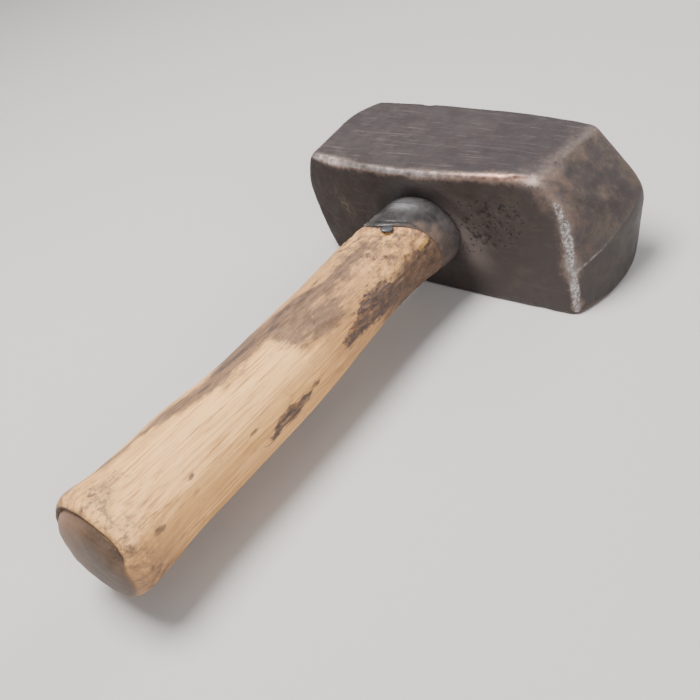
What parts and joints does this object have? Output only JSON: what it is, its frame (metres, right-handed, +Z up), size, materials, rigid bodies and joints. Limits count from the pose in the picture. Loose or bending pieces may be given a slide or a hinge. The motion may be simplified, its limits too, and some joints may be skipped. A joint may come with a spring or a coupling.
{
  "type": "club hammer",
  "caption": "Short heavy hammer: double-faced steel head with crowned ends on a wedged wooden handle with a nailed steel neck collar.",
  "frame": {"origin": "centre of the lower cheek, the flat face the hammer lies on, directly below the middle of the eye", "axes": "+X along the head to the right striking end, -Y from the eye to the butt of the handle, +Z up out of the upper cheek"},
  "size_m": [0.119, 0.1969, 0.046],
  "materials": {
    "head_steel": "forged, dark and lightly rusted, with bright worn edges",
    "handle_wood": "bare, worn and stained",
    "collar_steel": "dull grey, worn bright on its shoulder",
    "nail_steel": "dull grey",
    "wedge_wood": "bare end grain",
    "wedge_steel": "dark, hammered over"
  },
  "bodies": {
    "root": {"head": "head_steel", "handle": "handle_wood", "collar": "collar_steel", "collar_nail": "nail_steel", "wood_wedge": "wedge_wood", "steel_wedge_left": "wedge_steel", "steel_wedge_right": "wedge_steel"}
  },
  "joints": []
}
